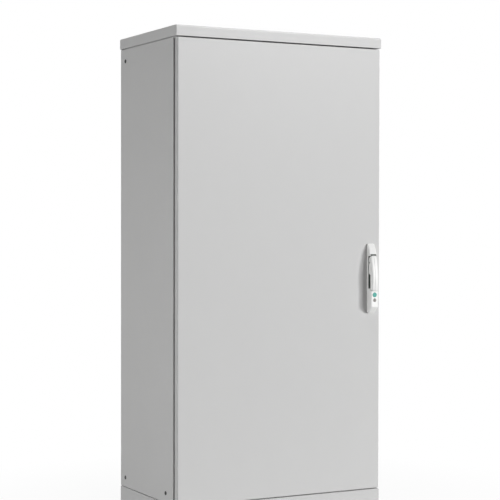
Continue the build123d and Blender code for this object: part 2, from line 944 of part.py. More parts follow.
with BuildPart() as door_rail_left:
    with BuildSketch(Plane.XY.offset(door_rail_foot_z)):
        add(
            folded_section(
                [
                    (-door_rail_x - door_rail_width, door_inner_y),
                    (-door_rail_x - door_rail_width / 2, door_inner_y),
                    (-door_rail_x - door_rail_width / 2, door_inner_y + door_rail_depth),
                    (-door_rail_x + door_rail_width / 2, door_inner_y + door_rail_depth),
                    (-door_rail_x + door_rail_width / 2, door_inner_y),
                    (-door_rail_x + door_rail_width, door_inner_y),
                ],
                frame_sheet,
                -1,
            )
        )
    extrude(amount=door_rail_top_z - door_rail_foot_z)
    with BuildSketch(Plane.XZ.offset(-door_inner_y - door_rail_depth)):
        with Locations((-door_rail_x, (door_rail_foot_z + door_rail_top_z) / 2)):
            with GridLocations(slot_pitch, slot_pitch, 1, door_rail_slots):
                Rectangle(slot_width, slot_length)
    extrude(amount=frame_sheet + overrun, both=True, mode=Mode.SUBTRACT)
save(door_rail_left, "door_rail_left")

with BuildPart() as door_rail_right:
    mirror(door_rail_left.part, about=Plane.YZ)
save(door_rail_right, "door_rail_right")

# Hinges: a gooseneck arm on the frame, a bracket on the door and a pin through both

arm_front_y = door_inner_y + arm_front_gap
arm_end_x = hinge_x + arm_reach
arm_foot_mid_x = arm_end_x - leg_thickness / 2

for number, place_z in enumerate(hinge_heights, 1):
    with BuildPart() as hinge_arm:
        with BuildSketch(Plane.XY.offset(place_z - arm_height / 2)):
            with Locations((hinge_x, hinge_y)):
                Circle(knuckle / 2)
            with Locations((hinge_x, arm_front_y)):
                Rectangle(arm_reach, arm_thickness, align=(Align.MIN, Align.MIN))
            with Locations((arm_end_x, arm_front_y)):
                Rectangle(leg_thickness, web_y - arm_front_y, align=(Align.MAX, Align.MIN))
            with Locations((hinge_x, hinge_y)):
                Circle(hinge_pin / 2 + pin_clearance, mode=Mode.SUBTRACT)
        extrude(amount=arm_height)
        with Locations((arm_foot_mid_x, web_y, place_z)):
            Box(
                arm_foot_width,
                arm_foot_thickness,
                arm_foot_height,
                align=(Align.CENTER, Align.MAX, Align.CENTER),
            )
        fillet(hinge_arm.edges().filter_by(Axis.Z).group_by(Axis.X)[-1], bend / 2)
    save(hinge_arm, f"hinge_arm_{number}")

    ear_foot = arm_height / 2 + ear_clear
    with BuildPart() as hinge_bracket:
        for ear_z in (place_z + ear_foot, place_z - ear_foot - ear_thickness):
            with BuildSketch(Plane.XY.offset(ear_z)):
                with Locations((hinge_x, hinge_y)):
                    Circle(knuckle / 2)
                with Locations((-door_half + door_sheet, door_inner_y)):
                    Rectangle(
                        hinge_inset - door_sheet + knuckle / 2,
                        hinge_inset - door_sheet,
                        align=(Align.MIN, Align.MIN),
                    )
                    Rectangle(
                        bridge_thickness,
                        hinge_inset - door_sheet + bridge_reach,
                        align=(Align.MIN, Align.MIN),
                    )
                with Locations((hinge_x, hinge_y)):
                    Circle(hinge_pin / 2 + pin_clearance, mode=Mode.SUBTRACT)
            extrude(amount=ear_thickness)
        with Locations((-door_half + door_sheet, door_inner_y, place_z)):
            Box(
                bridge_thickness,
                hinge_inset - door_sheet + bridge_reach,
                2 * ear_foot,
                align=(Align.MIN, Align.MIN, Align.CENTER),
            )
        door_corner = hinge_bracket.edges().filter_by(Axis.Z).group_by(Axis.X)[0].group_by(Axis.Y)[0]
        fillet(door_corner, bend - door_sheet)
    save(hinge_bracket, f"hinge_bracket_{number}")

with BuildPart() as hinge_pins:
    with Locations(*[(hinge_x, hinge_y, place_z) for place_z in hinge_heights]):
        Cylinder(hinge_pin / 2, arm_height + 2 * (ear_thickness + ear_clear))
save(hinge_pins, "hinge_pins")

# Swing handle: the housing, drawn from the side and trimmed to its front outline

handle_half = handle_width / 2
seat_y = front_y - handle_seal
base_y = front_y - base_depth
block_y = front_y - block_depth
block_top_z = handle_foot_z + block_top
ramp_top_z = block_top_z + ramp_rise
cap_foot_z_in_housing = axis_z + lever_head / 2
cap_bulge_z = cap_foot_z_in_housing + (handle_top_z - cap_foot_z_in_housing) * cap_bulge_share

with BuildPart() as handle_gasket:
    with BuildSketch(Plane.XZ.offset(-front_y)):
        with Locations((handle_x, handle_foot_z + handle_length / 2)):
            RectangleRounded(
                handle_width - 2 * housing_round,
                handle_length - 2 * housing_round,
                handle_corner - housing_round / 2,
            )
        with Locations((handle_x, axis_z)):
            Circle(neck_size / 2 + neck_hole_clear, mode=Mode.SUBTRACT)
        with Locations(*[(handle_x, place_z) for place_z in handle_screw_places]):
            Circle(handle_screw_size / 2 + fixing_clearance, mode=Mode.SUBTRACT)
    extrude(amount=handle_seal)
save(handle_gasket, "handle_gasket")

button_z = handle_foot_z + button_height_z
barrel_z = handle_foot_z + barrel_height_z

with BuildPart() as handle_housing:
    with BuildSketch(Plane.YZ.offset(handle_x)):
        with BuildLine():
            Polyline(
                (front_y - cap_tip_depth, handle_top_z),
                (seat_y, handle_top_z),
                (seat_y, handle_foot_z),
                (block_y + block_chamfer_depth, handle_foot_z),
                (block_y, handle_foot_z + block_chamfer_height),
                (block_y, block_top_z),
                (base_y, ramp_top_z),
                (base_y, cap_foot_z_in_housing),
                (front_y - cap_root_depth, cap_foot_z_in_housing),
            )
            ThreePointArc(
                (front_y - cap_root_depth, cap_foot_z_in_housing),
                (front_y - cap_bulge_depth, cap_bulge_z),
                (front_y - cap_tip_depth, handle_top_z),
            )
        make_face()
    extrude(amount=handle_half, both=True)
    front_edges = handle_housing.edges().filter_by(Axis.X, reverse=True)
    rounded = [
        edge
        for edge in front_edges
        if edge.center().Y < base_y and (edge.center().Z > axis_z or edge.center().Z < block_top_z)
    ]
    fillet(rounded, housing_edge_round)
    with BuildSketch(Plane.XZ.offset(-seat_y)):
        with Locations((handle_x, handle_foot_z + handle_length / 2)):
            RectangleRounded(handle_width, handle_length, handle_corner)
    extrude(amount=2 * block_depth, mode=Mode.INTERSECT)
    # The lever's round head turns inside this hollow arc.
    with BuildSketch(Plane.XZ.offset(-base_y)):
        with Locations((handle_x, axis_z)):
            Circle(lever_head + lever_gap)
    extrude(amount=block_depth, mode=Mode.SUBTRACT)
    with BuildSketch(Plane.XZ.offset(-seat_y)):
        with Locations((handle_x, axis_z)):
            Circle(rotor_size / 2 + rotor_fit)
    extrude(amount=block_depth, mode=Mode.SUBTRACT)
    with BuildSketch(Plane.XZ.offset(-block_y)):
        with Locations((handle_x, button_z)):
            Circle(button_size / 2 + button_clear)
    extrude(amount=-(button_length + button_travel - button_proud + button_clear), mode=Mode.SUBTRACT)
    with BuildSketch(Plane.XZ.offset(-block_y)):
        with Locations((handle_x, barrel_z)):
            Circle(barrel_size / 2 + barrel_clear)
    extrude(amount=-(barrel_length - barrel_proud + barrel_clear), mode=Mode.SUBTRACT)
    with BuildSketch(Plane.XZ.offset(-seat_y)):
        with Locations(*[(handle_x, place_z) for place_z in handle_screw_places]):
            Circle(handle_screw_size / 2 + fixing_clearance)
    extrude(amount=handle_screw_bite + fixing_clearance, mode=Mode.SUBTRACT)
save(handle_housing, "handle_housing")

with BuildPart() as handle_screws:
    for place_z in handle_screw_places:
        with Locations(Plane(origin=(handle_x, door_inner_y, place_z), z_dir=(0, 1, 0))):
            screw(
                handle_screw_head / 2,
                handle_screw_head_height,
                handle_screw_size / 2,
                door_sheet + handle_seal + handle_screw_bite,
            )
save(handle_screws, "handle_screws")

# Swing handle: the rotor that the lever is pinned to, and its square spindle

lift_y = front_y - lift_axis_depth
lift_z = axis_z - lift_axis_drop
case_cover_y = gear_back_y + case_cover_gap
spindle_back_y = case_cover_y + case_sheet + spindle_end_gap

with BuildPart() as handle_rotor:
    with BuildSketch(Plane.XZ.offset(-seat_y + rotor_face_gap)):
        with Locations((handle_x, axis_z)):
            Circle(rotor_size / 2)
    extrude(amount=base_depth - handle_seal - 2 * rotor_face_gap)
    with BuildSketch(Plane.YZ.offset(handle_x)):
        with Locations((lift_y, lift_z)):
            Circle(lug_round)
        with Locations((lift_y, lift_z)):
            Rectangle(
                lift_axis_depth - base_depth + base_depth / 2,
                2 * lug_round,
                align=(Align.MIN, Align.CENTER),
            )
        with Locations((lift_y, lift_z)):
            Circle(lever_pin / 2 + pin_clearance, mode=Mode.SUBTRACT)
    extrude(amount=lug_width / 2, both=True)
    with BuildSketch(Plane.XZ.offset(-seat_y + rotor_face_gap)):
        with Locations((handle_x, axis_z)):
            Circle(neck_size / 2)
    extrude(amount=-(rotor_face_gap + handle_seal + door_sheet))
    with BuildSketch(Plane.XZ.offset(-front_y)):
        with Locations((handle_x, axis_z)):
            Rectangle(spindle_square, spindle_square)
    extrude(amount=-(spindle_back_y - front_y))
save(handle_rotor, "handle_rotor")

# Swing handle: the lever with its round head, finger gap and pin bosses

lever_half = lever_width / 2
lever_top_z = axis_z + lever_head
ramp_slope = ramp_rise / (block_depth - base_depth)
neck_foot_z = lift_z - neck_length
neck_top_z = axis_z
tilt = tan(radians(lift_angle))


def lever_foot_z(out_depth):
    """Height of the lever's sloped end at a depth out from the door."""
    return block_top_z + ramp_slope * (block_depth - out_depth) + lever_end_gap


lever_front = [
    (front_y - lever_front_top, lever_top_z),
    (front_y - lever_front_mid, (lever_top_z + ramp_top_z) / 2),
    (front_y - lever_front_foot, lever_foot_z(lever_front_foot)),
]
groove_line = [(place_y + groove_depth, place_z) for place_y, place_z in lever_front]

with BuildPart() as handle_lever:
    with BuildSketch(Plane.YZ.offset(handle_x)):
        with BuildLine():
            ThreePointArc(*lever_front)
            Polyline(
                (front_y - lever_front_foot, lever_foot_z(lever_front_foot)),
                (front_y - lever_back, lever_foot_z(lever_back)),
                (front_y - lever_back, neck_foot_z - grip_slope),
                (front_y - lever_neck_back, neck_foot_z),
                (front_y - lever_neck_back, neck_top_z),
                (front_y - lever_neck_back - tilt * (lever_top_z - neck_top_z), lever_top_z),
                (front_y - lever_front_top, lever_top_z),
            )
        make_face()
    extrude(amount=lever_half, both=True)
    fillet(handle_lever.edges().filter_by(GeomType.CIRCLE), lever_round)
    with BuildSketch(Plane.XZ.offset(-front_y)):
        with Locations((handle_x, axis_z)):
            Circle(lever_head)
        with Locations((handle_x, axis_z)):
            Rectangle(lever_width, turn_axis, align=(Align.CENTER, Align.MAX))
    extrude(amount=2 * block_depth, mode=Mode.INTERSECT)
    # A rib down the middle of the back leaves a finger hollow on each side.
    with BuildSketch(Plane.YZ.offset(handle_x)):
        with BuildLine():
            Polyline(
                (front_y - lever_back - rib_width / 2, neck_foot_z),
                (front_y - lever_back - rib_width / 2, lever_foot_z(lever_back)),
                (front_y - lever_back, lever_foot_z(lever_back)),
                (front_y - rib_back, lever_foot_z(rib_back)),
                (front_y - rib_back, neck_foot_z),
                close=True,
            )
        make_face()
    extrude(amount=rib_width / 2, both=True)
    # A shallow groove marks the middle of the front.
    with BuildSketch(Plane.YZ.offset(handle_x)):
        with BuildLine():
            ThreePointArc(*groove_line)
            Polyline(
                groove_line[-1],
                (front_y - 2 * lever_front_mid, groove_line[-1][1]),
                (front_y - 2 * lever_front_mid, groove_line[0][1]),
                groove_line[0],
            )
        make_face()
    extrude(amount=groove_width / 2, both=True, mode=Mode.SUBTRACT)
    with Locations((handle_x, front_y, lift_z)):
        Box(
            lug_width + 2 * lug_slot_clear,
            lug_slot_depth,
            lug_slot_height,
            align=(Align.CENTER, Align.MAX, Align.CENTER),
            mode=Mode.SUBTRACT,
        )
    with BuildSketch(Plane.YZ.offset(handle_x)):
        with Locations((lift_y, lift_z)):
            Circle(lever_pin / 2 + pin_clearance)
    extrude(amount=handle_width, both=True, mode=Mode.SUBTRACT)
    for side in (-1, 1):
        with BuildSketch(Plane.YZ.offset(handle_x + side * (lever_half - pin_recess_depth))):
            with Locations((lift_y, lift_z)):
                Circle(pin_recess / 2)
        extrude(amount=side * handle_width, mode=Mode.SUBTRACT)
save(handle_lever, "handle_lever")

with BuildPart() as lever_pivot_pin:
    with BuildSketch(Plane.YZ.offset(handle_x)):
        with Locations((lift_y, lift_z)):
            Circle(lever_pin / 2)
    extrude(amount=lever_half - pin_recess_depth / 2, both=True)
save(lever_pivot_pin, "lever_pivot_pin")

# Swing handle: the release button and the lock barrel in the lower block

with BuildPart() as release_button:
    with BuildSketch(Plane.XZ.offset(-block_y + button_proud - button_length)):
        with Locations((handle_x, button_z)):
            Circle(button_size / 2)
    extrude(amount=button_length)
    chamfer(release_button.faces().sort_by(Axis.Y)[0].edges(), button_dome)
save(release_button, "release_button")

with BuildPart() as lock_barrel:
    with BuildSketch(Plane.XZ.offset(-block_y + barrel_proud - barrel_length)):
        with Locations((handle_x, barrel_z)):
            Circle(barrel_size / 2)
    extrude(amount=barrel_length)
    with BuildSketch(Plane.XZ.offset(-block_y + barrel_proud)):
        with Locations((handle_x, barrel_z)):
            Rectangle(key_slot_width, key_slot_length)
    extrude(amount=-key_slot_depth, mode=Mode.SUBTRACT)
save(lock_barrel, "lock_barrel")

# Lock: the pinion on the spindle, with involute teeth

base_radius = pitch_radius * cos(radians(pressure_angle))
tip_radius = pitch_radius + gear_addendum
root_radius = pitch_radius - gear_dedendum
pitch_involute = tan(radians(pressure_angle)) - radians(pressure_angle)
tooth_half_angle = pi / (2 * gear_teeth) - gear_backlash / (2 * pitch_radius)
flank_mid_share = 0.5


def flank_point(radius, side):
    """A point on one involute flank of the tooth that lies along +X."""
    roll = acos(min(1.0, base_radius / radius))
    angle = side * (tooth_half_angle + pitch_involute - (tan(roll) - roll))
    return (radius * cos(angle), radius * sin(angle))


def flank_points(side):
    """The foot, middle and tip of one flank, which an arc follows closely."""
    mid_radius = base_radius + (tip_radius - base_radius) * flank_mid_share
    return [flank_point(radius, side) for radius in (base_radius, mid_radius, tip_radius)]


foot_angle = tooth_half_angle + pitch_involute
foot_x = root_radius * cos(foot_angle) - gear_backlash
foot_y = root_radius * sin(foot_angle)

with BuildSketch(Plane.XY) as pinion_tooth:
    with BuildLine():
        Line((foot_x, -foot_y), flank_point(base_radius, -1))
        ThreePointArc(*flank_points(-1))
        ThreePointArc(flank_point(tip_radius, -1), (tip_radius, 0), flank_point(tip_radius, 1))
        ThreePointArc(*flank_points(1))
        Line(flank_point(base_radius, 1), (foot_x, foot_y))
        Line((foot_x, foot_y), (foot_x, -foot_y))
    make_face()

with BuildPart() as lock_pinion:
    with BuildSketch(Plane(origin=(handle_x, gear_front_y, axis_z), x_dir=(1, 0, 0), z_dir=(0, -1, 0))):
        Circle(root_radius)
        with PolarLocations(0, gear_teeth):
            add(pinion_tooth.sketch)
        Rectangle(
            spindle_square + 2 * pin_clearance,
            spindle_square + 2 * pin_clearance,
            mode=Mode.SUBTRACT,
        )
    extrude(amount=-gear_face)
save(lock_pinion, "lock_pinion")

# Lock: the two rods, each a flat bar cut as a rack where the pinion drives it

rack_pitch = pi * gear_module
rack_half_tooth = (rack_pitch / 2 - gear_backlash) / 2
rack_tip_half = rack_half_tooth - rack_addendum * tan(radians(pressure_angle))
rack_root_half = rack_half_tooth + rack_dedendum * tan(radians(pressure_angle))
rod_outer = pitch_radius + rack_dedendum + rack_back
rod_inner = pitch_radius + rack_dedendum
striker_z_top = door_top_z - striker_inset
striker_z_foot = door_foot_z + striker_inset


def lock_rod(side, tip_z):
    """A lock rod on one side of the pinion, reaching from it to the tip height."""
    up = 1 if tip_z > axis_z else -1
    heel_z = axis_z - up * rack_end
    with BuildPart() as rod:
        with BuildSketch(Plane.XZ.offset(-gear_front_y)):
            with Locations((handle_x + side * (rod_inner + rod_outer) / 2, (heel_z + tip_z) / 2)):
                Rectangle(rack_back, abs(tip_z - heel_z))
        extrude(amount=-gear_face)
        chamfer(rod.faces().sort_by(Axis.Z)[-1 if up > 0 else 0].edges(), rod_tip_chamfer)
        with BuildSketch(Plane.XZ.offset(-gear_front_y)):
            for place in range(rack_teeth):
                tooth_z = axis_z + up * (place - rack_near_teeth + 0.5) * rack_pitch
                with BuildLine():
                    Polyline(
                        (handle_x + side * rod_inner, tooth_z - rack_root_half),
                        (handle_x + side * (pitch_radius - rack_addendum), tooth_z - rack_tip_half),
                        (handle_x + side * (pitch_radius - rack_addendum), tooth_z + rack_tip_half),
                        (handle_x + side * rod_inner, tooth_z + rack_root_half),
                        close=True,
                    )
                make_face()
        extrude(amount=-gear_face)
    return rod


upper_lock_rod = lock_rod(1, striker_z_top - rod_tip_gap)
save(upper_lock_rod, "upper_lock_rod")

lower_lock_rod = lock_rod(-1, striker_z_foot + rod_tip_gap)
save(lower_lock_rod, "lower_lock_rod")

# Lock: the case, its cover, the rod guides and the strikers

case_half_width = rod_outer + guide_clear + case_sheet

with BuildPart() as lock_case:
    with BuildSketch(Plane.XZ.offset(-door_inner_y)):
        with Locations((handle_x, axis_z)):
            Rectangle(2 * case_half_width, 2 * case_half_height)
            Circle(neck_size / 2 + neck_hole_clear, mode=Mode.SUBTRACT)
    extrude(amount=-case_sheet)
    for side, edge_align in ((-1, Align.MIN), (1, Align.MAX)):
        with Locations((handle_x + side * case_half_width, door_inner_y, axis_z)):
            Box(
                case_sheet,
                case_cover_y - door_inner_y,
                2 * case_half_height,
                align=(edge_align, Align.MIN, Align.CENTER),
            )
save(lock_case, "lock_case")

with BuildPart() as lock_case_cover:
    with BuildSketch(Plane.XZ.offset(-case_cover_y)):
        with Locations((handle_x, axis_z)):
            RectangleRounded(2 * case_half_width, 2 * case_half_height, bend)
            Circle(spindle_square * sqrt(2) / 2 + neck_hole_clear, mode=Mode.SUBTRACT)
    extrude(amount=-case_sheet)
save(lock_case_cover, "lock_case_cover")

guide_places = [
    (1, axis_z + guide_near),
    (1, door_top_z - guide_far_inset),
    (-1, axis_z - guide_near),
    (-1, door_foot_z + guide_far_inset),
]
rod_mid = (rod_inner + rod_outer) / 2

with BuildPart() as rod_guides:
    for side, place_z in guide_places:
        with Locations((handle_x + side * rod_mid, door_inner_y, place_z)):
            Box(
                rack_back + 2 * guide_clear + 2 * guide_wall,
                gear_back_y + guide_clear + guide_back - door_inner_y,
                guide_length,
                align=(Align.CENTER, Align.MIN, Align.CENTER),
            )
        with Locations((handle_x + side * rod_mid, gear_mid_y, place_z)):
            Box(
                rack_back + 2 * guide_clear,
                gear_face + 2 * guide_clear,
                guide_length + 2 * overrun,
                mode=Mode.SUBTRACT,
            )
save(rod_guides, "rod_guides")


striker_lip_y = door_inner_y + striker_front_gap + striker_sheet


def striker(side, foot_z, up):
    """A striker on the upright's web: a shelf over the rod's end, with a turned lip."""
    shelf_z = foot_z + up * striker_lip
    with BuildPart() as piece:
        with BuildSketch(Plane.YZ.offset(handle_x + side * rod_mid)):
            add(
                folded_section(
                    [
                        (web_y, shelf_z + up * striker_flange),
                        (web_y, shelf_z),
                        (striker_lip_y, shelf_z),
                        (striker_lip_y, foot_z),
                    ],
                    striker_sheet,
                    up,
                )
            )
        extrude(amount=striker_width / 2, both=True)
    return piece


striker_top = striker(1, striker_z_top, 1)
save(striker_top, "striker_top")

striker_bottom = striker(-1, striker_z_foot, -1)
save(striker_bottom, "striker_bottom")
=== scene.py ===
"""Looks of a floor-standing electrical enclosure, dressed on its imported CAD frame.

The sheet-steel cabinet, its door, the swing handle and the lock keep their CAD
solids. This file gives every piece its finish, turns the soft and small pieces
into shaped meshes, and sets the camera, the studio floor and the lights.
"""

from __future__ import annotations

import json
import logging
import math
from dataclasses import dataclass
from enum import Enum
from typing import Any, Callable, Iterable, Mapping, Sequence

import bmesh
import bpy
from mathutils import Matrix, Vector

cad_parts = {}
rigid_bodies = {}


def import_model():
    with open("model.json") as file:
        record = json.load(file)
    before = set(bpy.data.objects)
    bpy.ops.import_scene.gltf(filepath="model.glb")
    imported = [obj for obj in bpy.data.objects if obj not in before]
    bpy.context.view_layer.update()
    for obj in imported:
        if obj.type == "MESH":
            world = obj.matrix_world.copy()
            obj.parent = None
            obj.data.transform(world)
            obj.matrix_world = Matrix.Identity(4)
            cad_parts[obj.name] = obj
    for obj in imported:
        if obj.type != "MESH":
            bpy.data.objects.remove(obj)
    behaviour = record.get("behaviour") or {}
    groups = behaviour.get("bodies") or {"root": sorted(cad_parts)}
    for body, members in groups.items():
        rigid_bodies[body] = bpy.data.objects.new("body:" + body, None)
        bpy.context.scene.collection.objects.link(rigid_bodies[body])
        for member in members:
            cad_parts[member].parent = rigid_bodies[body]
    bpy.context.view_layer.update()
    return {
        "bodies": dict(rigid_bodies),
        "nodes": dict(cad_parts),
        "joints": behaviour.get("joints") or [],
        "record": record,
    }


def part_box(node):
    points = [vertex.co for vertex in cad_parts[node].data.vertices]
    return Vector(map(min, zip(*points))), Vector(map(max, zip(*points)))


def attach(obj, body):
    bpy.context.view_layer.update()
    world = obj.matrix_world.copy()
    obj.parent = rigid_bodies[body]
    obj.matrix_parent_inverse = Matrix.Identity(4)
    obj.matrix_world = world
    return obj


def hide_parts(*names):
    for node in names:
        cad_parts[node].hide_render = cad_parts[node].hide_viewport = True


LOG = logging.getLogger("enclosure")
MM = 0.001

# The sRGB curve: a straight foot up to the knee, then a power curve.
SRGB_KNEE = 0.04045
SRGB_FOOT = 12.92
SRGB_LIFT = 0.055
SRGB_POWER = 2.4

# Points of a mesh that lie closer than this are one point, in metres.
SAME_POINT_M = 1e-6

# Broken edges: how close corners are joined first, which turn counts as sharp, and the facets across.
WELD_M = 1e-5
SHARP_DEG = 40.0
EDGE_STEPS = 2

# Noise behind the patches of a finish, and behind its grain.
PATCH_NOISE = {"Detail": 4.0, "Roughness": 0.55}
GRAIN_NOISE = {"Detail": 3.0, "Roughness": 0.6}


# Small tools


def linear(hex_colour: str) -> tuple[float, float, float, float]:
    """Turn an sRGB hex colour into the linear colour that a shader takes.

    Args:
        hex_colour: six hex digits with a leading hash.

    Returns:
        Linear red, green and blue, and an alpha of one.
    """
    parts = [int(hex_colour[place : place + 2], 16) / 255 for place in (1, 3, 5)]
    red, green, blue = (
        part / SRGB_FOOT if part <= SRGB_KNEE else ((part + SRGB_LIFT) / (1 + SRGB_LIFT)) ** SRGB_POWER
        for part in parts
    )
    return (red, green, blue, 1.0)


def add_node(
    tree: bpy.types.NodeTree,
    kind: str,
    settings: Mapping[str, Any] | None = None,
    values: Mapping[str | int, Any] | None = None,
    links: Mapping[str | int, bpy.types.NodeSocket] | None = None,
) -> bpy.types.Node:
    """Add one shader node.

    Args:
        tree: the node tree to add to.
        kind: Blender's name for the node type.
        settings: properties of the node itself.
        values: constants, by input socket.
        links: sockets of other nodes to join to its inputs, by input socket.

    Returns:
        The new node.
    """
    node = tree.nodes.new(kind)
    for name, value in (settings or {}).items():
        setattr(node, name, value)
    for socket, value in (values or {}).items():
        node.inputs[socket].default_value = value
    for socket, source in (links or {}).items():
        tree.links.new(source, node.inputs[socket])
    return node


def per_metre(size_mm: float) -> float:
    """Texture scale that makes one feature of a pattern this many millimetres wide."""
    return 1.0 / (size_mm * MM)


# Finishes


@dataclass(frozen=True)
class Finish:
    """A surface finish: what the material is and how its surface was made.

    Attributes:
        name: the common name of the material.
        colour: its base colour as sRGB hex.
        roughness: roughness of the clean surface.
        metallic: one for bare metal, zero for paint, plastic and rubber.
        grain_mm: width of its finest visible grain.
        relief_mm: height of that grain.
        mottle: how far its brightness strays across a panel, as a share.
        mottle_mm: width of those patches.
        tone_stops: where in its pattern the darkest and the lightest tone lie.
        rough_spread: how far its roughness strays, as a share.
    """

    name: str
    colour: str
    roughness: float
    metallic: float = 0.0
    grain_mm: float = 1.0
    relief_mm: float = 0.05
    mottle: float = 0.03
    mottle_mm: float = 220.0
    tone_stops = (0.3, 0.7)
    rough_spread = 0.1

    def material(self) -> bpy.types.Material:
        """Make the finish as a Blender material.

        Returns:
            A node material with colour, roughness and relief from its own pattern.
        """
        made = bpy.data.materials.new(self.name)
        made.use_nodes = True
        made.diffuse_color = linear(self.colour)
        tree = made.node_tree
        shader = tree.nodes["Principled BSDF"]
        shader.inputs["Metallic"].default_value = self.metallic
        place = add_node(tree, "ShaderNodeTexCoord").outputs["Object"]
        self.colour_nodes(tree, shader, place)
        self.relief_nodes(tree, shader, place)
        return made

    def colour_nodes(
        self, tree: bpy.types.NodeTree, shader: bpy.types.Node, place: bpy.types.NodeSocket
    ) -> None:
        """Colour and roughness that stray a little from patch to patch.

        Args:
            tree: the material's nodes.
            shader: its surface shader.
            place: the point on the object, in metres.
        """
        patch = add_node(
            tree,
            "ShaderNodeTexNoise",
            values={"Scale": per_metre(self.mottle_mm), **PATCH_NOISE},
            links={"Vector": place},
        )
        self.tone_nodes(tree, shader, patch.outputs["Fac"], patch.outputs["Fac"])

    def tone_nodes(
        self,
        tree: bpy.types.NodeTree,
        shader: bpy.types.Node,
        tone: bpy.types.NodeSocket,
        wear: bpy.types.NodeSocket,
    ) -> None:
        """Turn a pattern into the finish's colour and roughness.

        Args:
            tree: the material's nodes.
            shader: its surface shader.
            tone: the pattern that the brightness follows, from zero to one.
            wear: the pattern that the roughness follows, from zero to one.
        """
        red, green, blue, _ = linear(self.colour)
        ramp = add_node(tree, "ShaderNodeValToRGB", links={"Fac": tone})
        ends = zip(ramp.color_ramp.elements, self.tone_stops, (1 - self.mottle, 1 + self.mottle))
        for stop, position, share in ends:
            stop.position = position
            stop.color = (red * share, green * share, blue * share, 1.0)
        tree.links.new(ramp.outputs["Color"], shader.inputs["Base Color"])
        low, high = (self.roughness * share for share in (1 - self.rough_spread, 1 + self.rough_spread))
        rough = add_node(
            tree,
            "ShaderNodeMapRange",
            values={"To Min": low, "To Max": min(1.0, high)},
            links={"Value": wear},
        )
        tree.links.new(rough.outputs["Result"], shader.inputs["Roughness"])

    def relief_nodes(
        self, tree: bpy.types.NodeTree, shader: bpy.types.Node, place: bpy.types.NodeSocket
    ) -> None:
        """A fine grain that stands out of the surface.

        Args:
            tree: the material's nodes.
            shader: its surface shader.
            place: the point on the object, in metres.
        """
        grain = add_node(
            tree,
            "ShaderNodeTexNoise",
            values={"Scale": per_metre(self.grain_mm), **GRAIN_NOISE},
            links={"Vector": place},
        )
        bump = add_node(
            tree,
            "ShaderNodeBump",
            values={"Strength": 1.0, "Distance": self.relief_mm * MM},
            links={"Height": grain.outputs["Fac"]},
        )
        tree.links.new(bump.outputs["Normal"], shader.inputs["Normal"])


@dataclass(frozen=True)
class SpangledSheet(Finish):
    """Hot-dip galvanised sheet, whose zinc set in flat grey crystals.

    Attributes:
        spangle_mm: width of one crystal.
    """

    spangle_mm: float = 14.0
    tone_stops = (0.0, 1.0)
    rough_spread = 0.2

    def colour_nodes(
        self, tree: bpy.types.NodeTree, shader: bpy.types.Node, place: bpy.types.NodeSocket
    ) -> None:
        """Each crystal has its own brightness and its own roughness.

        Args:
            tree: the material's nodes.
            shader: its surface shader.
            place: the point on the object, in metres.
        """
        crystal = add_node(
            tree,
            "ShaderNodeTexVoronoi",
            values={"Scale": per_metre(self.spangle_mm), "Randomness": 1.0},
            links={"Vector": place},
        )
        tone = add_node(tree, "ShaderNodeSeparateColor", links={"Color": crystal.outputs["Color"]})
        self.tone_nodes(tree, shader, tone.outputs["Red"], tone.outputs["Green"])


@dataclass(frozen=True)
class ShadePaintedPlastic(Finish):
    """Light moulded plastic with painted shade on some of its faces: a darker colour inside boxes,
    standing in for shadow.

    Attributes:
        painted_shade_colour: the darker colour that is painted on as shade.
        painted_shade_boxes_m: lowest and highest corners of the boxes that hold the painted shade.
    """

    painted_shade_colour: str = "#000000"
    painted_shade_boxes_m: tuple[tuple[tuple[float, ...], tuple[float, ...]], ...] = ()

    def colour_nodes(
        self, tree: bpy.types.NodeTree, shader: bpy.types.Node, place: bpy.types.NodeSocket
    ) -> None:
        """The plastic's own colour, and the painted shade inside the boxes.

        Args:
            tree: the material's nodes.
            shader: its surface shader.
            place: the point on the object, in metres.
        """
        super().colour_nodes(tree, shader, place)
        plain = shader.inputs["Base Color"].links[0].from_socket
        parts = add_node(tree, "ShaderNodeSeparateXYZ", links={0: place})
        boxes = [self.in_box(tree, parts, low, high) for low, high in self.painted_shade_boxes_m]
        # Painted shade: inside the boxes the darker colour replaces the plastic's own.
        shaded_colour = add_node(
            tree,
            "ShaderNodeMix",
            {"data_type": "RGBA"},
            values={7: linear(self.painted_shade_colour)},
            links={0: self.join(tree, "MAXIMUM", boxes), 6: plain},
        )
        tree.links.new(shaded_colour.outputs[2], shader.inputs["Base Color"])

    def in_box(
        self, tree: bpy.types.NodeTree, parts: bpy.types.Node, low: Sequence[float], high: Sequence[float]
    ) -> bpy.types.NodeSocket:
        """One inside a box and zero outside it.

        Args:
            tree: the material's nodes.
            parts: the point's three coordinates.
            low: the box's lowest corner.
            high: its highest corner.

        Returns:
            The socket that carries the answer.
        """
        answers = [
            add_node(
                tree,
                "ShaderNodeMath",
                {"operation": "COMPARE"},
                values={1: (start + end) / 2, 2: (end - start) / 2},
                links={0: part},
            ).outputs[0]
            for part, start, end in zip(parts.outputs, low, high)
        ]
        return self.join(tree, "MULTIPLY", answers)

    @staticmethod
    def join(
        tree: bpy.types.NodeTree, operation: str, sockets: Sequence[bpy.types.NodeSocket]
    ) -> bpy.types.NodeSocket:
        """Chain sockets two by two through one operation.

        Args:
            tree: the material's nodes.
            operation: the operation's name.
            sockets: the sockets to chain.

        Returns:
            The last node's socket.
        """
        first, *others = sockets
        for other in others:
            first = add_node(
                tree, "ShaderNodeMath", {"operation": operation}, links={0: first, 1: other}
            ).outputs[0]
        return first


# Glass-filled polyamide, moulded in a spark-eroded tool: a fine even matt.
MOULDED = ("#EAEAE9", 0.4, 0.0, 0.45, 0.02, 0.012, 40.0)
# Boxes of painted shade: round the floor of the housing's tray, where the finger recess under the lever
# lies in shadow, and round its end wall, where the seam above the lever lies in shadow.
TRAY_SHADE_BOXES_M = (
    ((0.4278, -0.3134, 0.99), (0.4622, -0.3126, 1.143)),
    ((0.43, -0.334, 1.118), (0.46, -0.3126, 1.1445)),
)
